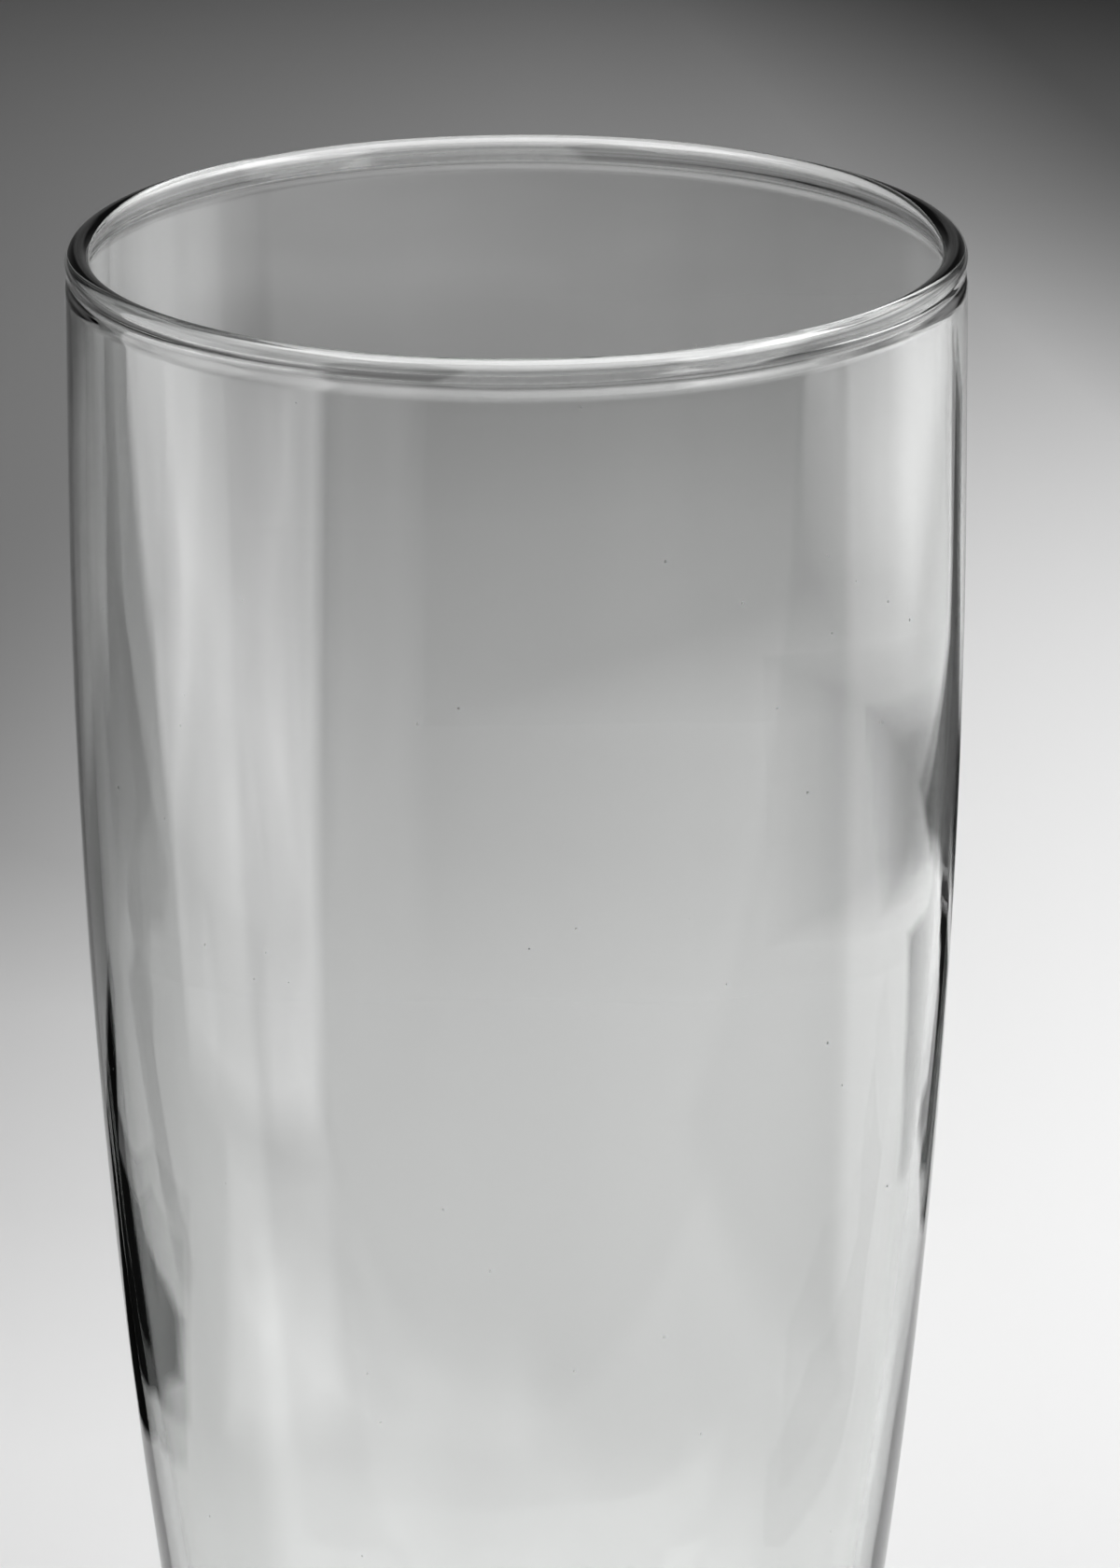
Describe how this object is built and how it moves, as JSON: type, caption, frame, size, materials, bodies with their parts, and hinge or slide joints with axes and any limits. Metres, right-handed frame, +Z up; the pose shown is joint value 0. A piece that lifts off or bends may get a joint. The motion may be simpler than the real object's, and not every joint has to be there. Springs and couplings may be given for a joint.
{
  "type": "drinking glass",
  "caption": "Tall clear drinking glass with an upright rim that draws in along one long curve to a thick, hollowed base; open at the top to hold a drink.",
  "frame": {"origin": "centre of the standing ring, on the surface that the glass stands on", "axes": "+Z up along the axis of the glass; it is round, so +X and +Y are free"},
  "size_m": [0.076, 0.076, 0.15],
  "materials": {
    "clear_glass": "clear soda-lime glass, smooth and fire-polished at the rim"
  },
  "bodies": {
    "root": {"tumbler": "clear_glass"}
  },
  "joints": []
}
